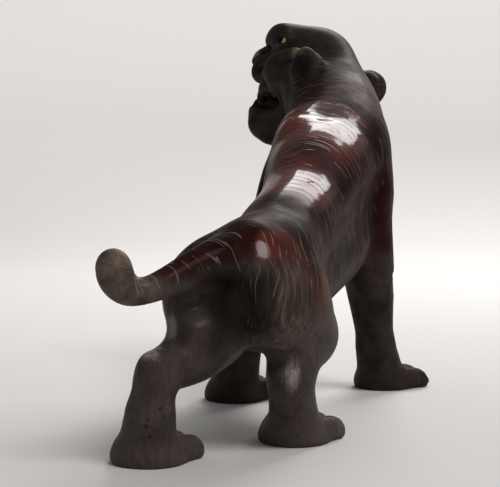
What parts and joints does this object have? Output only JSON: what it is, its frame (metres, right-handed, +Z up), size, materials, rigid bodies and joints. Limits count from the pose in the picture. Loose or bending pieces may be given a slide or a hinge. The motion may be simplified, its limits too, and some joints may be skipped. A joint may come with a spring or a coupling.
{
  "type": "tiger figurine",
  "caption": "Small cast bronze figurine of a prowling tiger, low hindquarters and high chest, head turned to its left with the mouth open, tail curled to one side",
  "frame": {"origin": "on the ground at the middle of the figure's length and width, under the belly", "axes": "+Z up, -Y the way the body faces, +X the tiger's left, the side its head and tail turn to"},
  "size_m": [0.0696, 0.191, 0.1303],
  "materials": {
    "bronze": "satin to gloss red-brown and near-black patina over cast bronze, rubbed to pale gold at the tail tip, ear rims and haunch"
  },
  "bodies": {
    "root": {"tiger": "bronze"}
  },
  "joints": []
}
